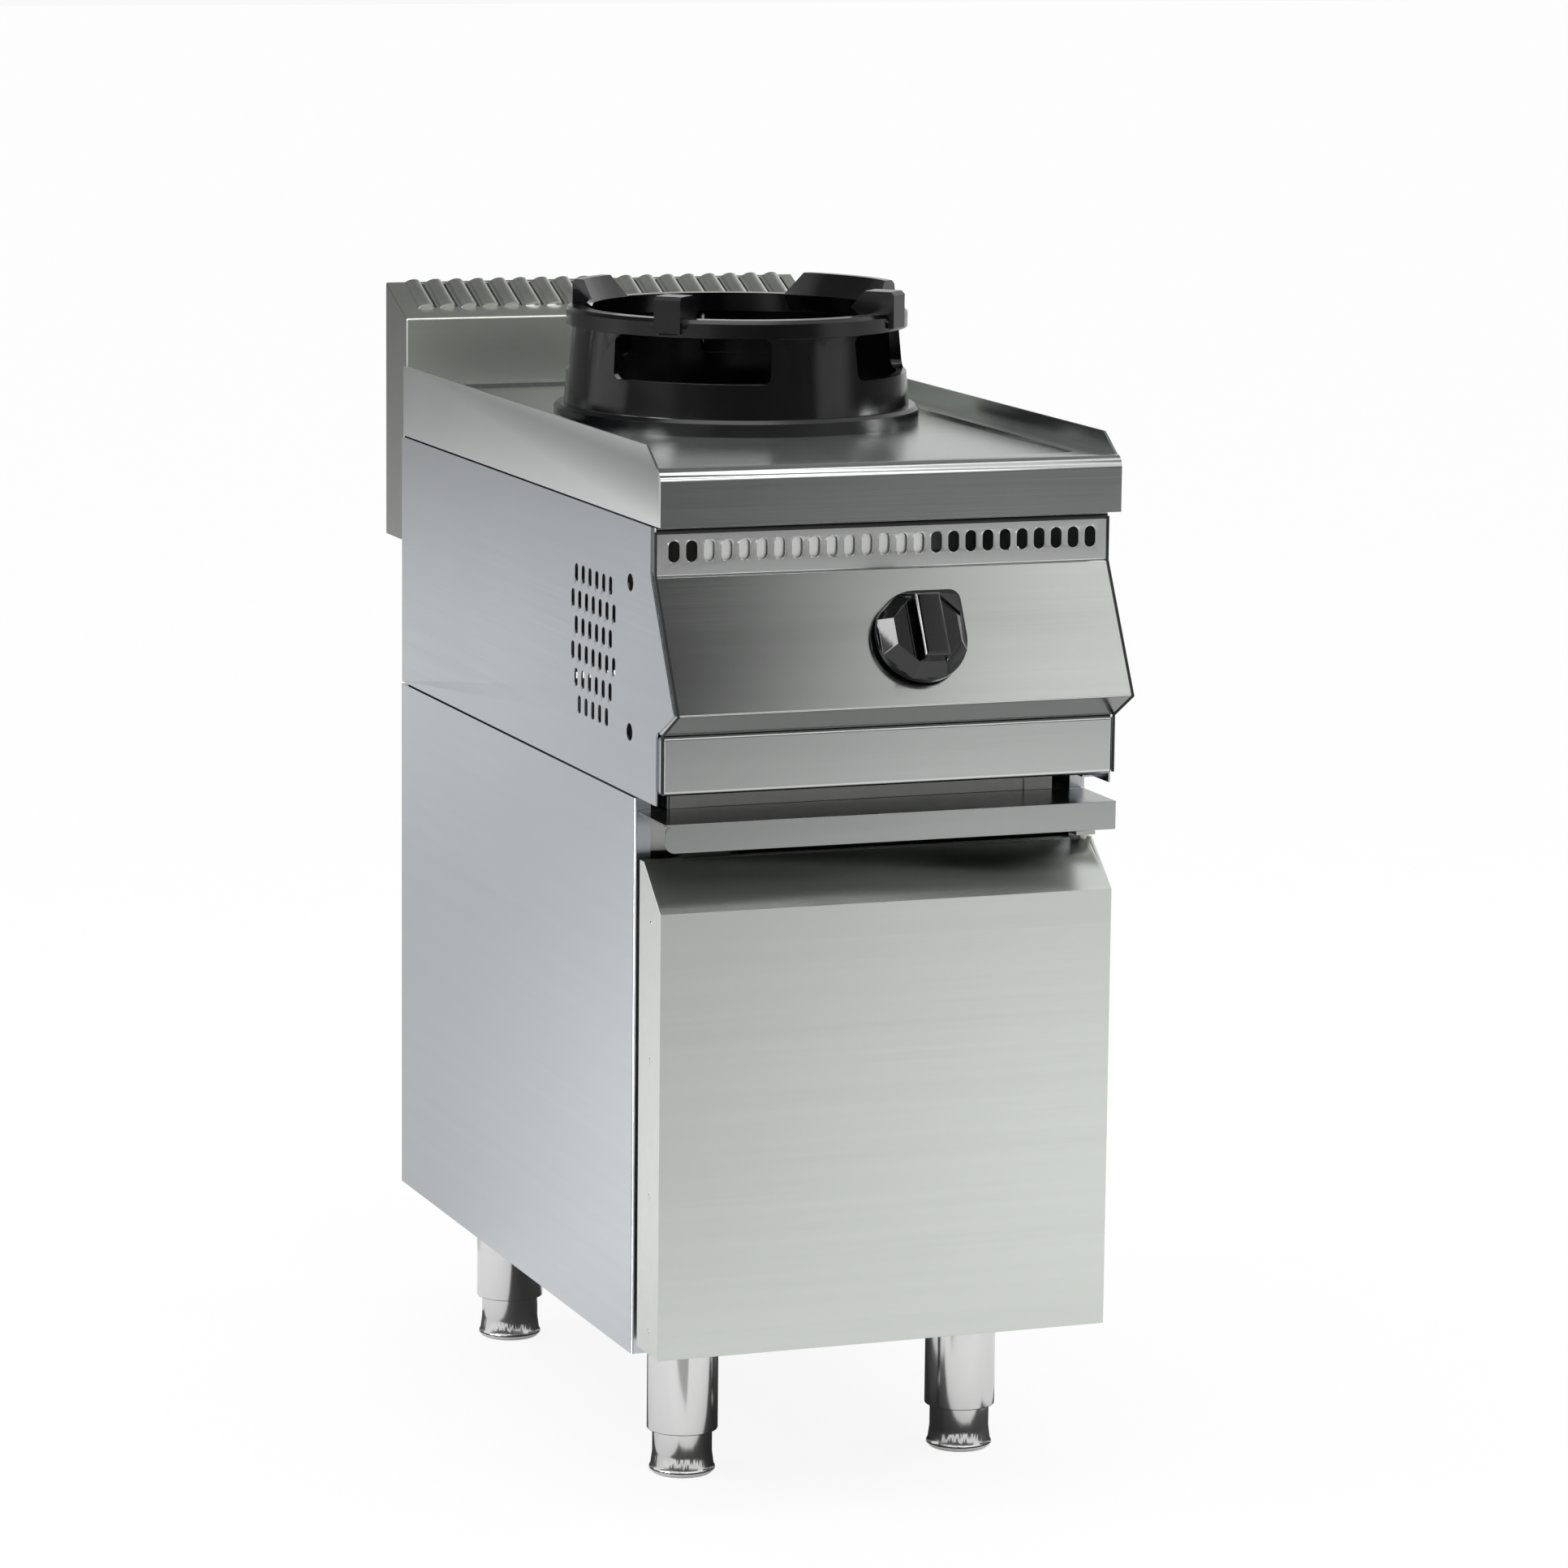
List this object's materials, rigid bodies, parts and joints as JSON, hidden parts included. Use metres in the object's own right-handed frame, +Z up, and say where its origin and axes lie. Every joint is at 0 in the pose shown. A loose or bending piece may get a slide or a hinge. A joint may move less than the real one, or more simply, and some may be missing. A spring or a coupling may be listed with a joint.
{
  "type": "gas wok range",
  "caption": "Free-standing gas wok range: cast ring stand over a burner, sloped panel with a knob, drip tray, louvred flue and a cabinet with a hinged door on legs.",
  "frame": {"origin": "on the floor under the centre of the box round the whole range, knob and flue included", "axes": "+X to the right of the cook who faces the range, -Y out of the control panel towards the cook, +Z up"},
  "size_m": [0.4, 0.8216, 0.98],
  "materials": {
    "brushed_sheet": "brushed stainless sheet, satin",
    "inner_sheet": "mill-finish stainless sheet",
    "hardware": "plain steel",
    "polished_leg": "polished stainless tube",
    "black_seal": "black sealing strip",
    "bearing_plastic": "black plastic",
    "brass_fitting": "machined brass",
    "gas_pipe": "bright pipe",
    "black_casting": "black enamelled cast iron, semi-gloss",
    "black_knob": "black gloss plastic"
  },
  "bodies": {
    "cabinet": {"cabinet_left_side": "brushed_sheet", "cabinet_right_side": "brushed_sheet", "cabinet_back": "inner_sheet", "cabinet_floor": "inner_sheet", "front_rail": "inner_sheet", "rear_rail": "inner_sheet", "tray_left_runner": "inner_sheet", "tray_right_runner": "inner_sheet", "seam_seals": "black_seal", "leg_plates": "hardware", "leg_sleeves": "polished_leg", "leg_nuts": "hardware", "leg_bushes": "bearing_plastic", "lower_hinge_bracket": "hardware", "upper_hinge_bracket": "hardware", "hinge_washer": "bearing_plastic", "magnet_catch": "bearing_plastic", "module_left_side": "brushed_sheet", "module_right_side": "brushed_sheet", "module_back": "inner_sheet", "vent_strip": "brushed_sheet", "control_panel": "brushed_sheet", "lower_fascia": "brushed_sheet", "worktop": "brushed_sheet", "flue": "brushed_sheet", "tap_gland": "brass_fitting", "tap_body": "brass_fitting", "tap_spring": "hardware", "gas_inlet": "brass_fitting", "inlet_nut": "brass_fitting", "supply_pipe": "gas_pipe", "feed_pipe": "gas_pipe", "injector": "brass_fitting", "injector_bracket": "inner_sheet", "burner_supports": "inner_sheet", "burner_body": "black_casting", "pilot_burner": "hardware", "thermocouple": "hardware"},
    "door": {"door_shell": "brushed_sheet", "door_liner": "inner_sheet", "door_pivot_blocks": "hardware", "catch_strike": "inner_sheet"},
    "drip_tray": {"drip_tray": "brushed_sheet", "tray_walls": "brushed_sheet"},
    "push_collar": {"push_collar": "brass_fitting"},
    "knob": {"knob": "black_knob", "tap_spindle": "hardware"},
    "burner_cap": {"burner_cap": "black_casting"},
    "wok_stand": {"wok_stand": "black_casting"},
    "front_left_foot": {"front_left_foot": "polished_leg"},
    "front_right_foot": {"front_right_foot": "polished_leg"},
    "rear_left_foot": {"rear_left_foot": "polished_leg"},
    "rear_right_foot": {"rear_right_foot": "polished_leg"}
  },
  "joints": [
    {"name": "door_hinge", "type": "hinge", "parent": "cabinet", "child": "door", "pos_m": [0.19, -0.31116, 0.136], "axis": [0, 0, 1], "range_deg": [0, 105]},
    {"name": "tray_slide", "type": "slide", "parent": "cabinet", "child": "drip_tray", "axis": [0, -1, 0], "range_m": [0, 0.35]},
    {"name": "knob_push", "type": "slide", "parent": "cabinet", "child": "push_collar", "axis": [0, 0.8759, -0.4825], "range_m": [0, 0.004], "stiffness_N_per_m": 1000, "springref_m": -0.01},
    {"name": "knob_turn", "type": "hinge", "parent": "push_collar", "child": "knob", "pos_m": [0.018, -0.36561, 0.72303], "axis": [0, -0.8759, 0.4825], "range_deg": [0, 210]},
    {"name": "stand_lift", "type": "slide", "parent": "cabinet", "child": "wok_stand", "axis": [0, 0, 1], "range_m": [0, 0.15]},
    {"name": "cap_lift", "type": "slide", "parent": "cabinet", "child": "burner_cap", "axis": [0, 0, 1], "range_m": [0, 0.06]},
    {"name": "front_left_foot_adjust", "type": "slide", "parent": "cabinet", "child": "front_left_foot", "axis": [0, 0, -1], "range_m": [-0.008, 0.03]},
    {"name": "front_right_foot_adjust", "type": "slide", "parent": "cabinet", "child": "front_right_foot", "axis": [0, 0, -1], "range_m": [-0.008, 0.03]},
    {"name": "rear_left_foot_adjust", "type": "slide", "parent": "cabinet", "child": "rear_left_foot", "axis": [0, 0, -1], "range_m": [-0.008, 0.03]},
    {"name": "rear_right_foot_adjust", "type": "slide", "parent": "cabinet", "child": "rear_right_foot", "axis": [0, 0, -1], "range_m": [-0.008, 0.03]}
  ]
}
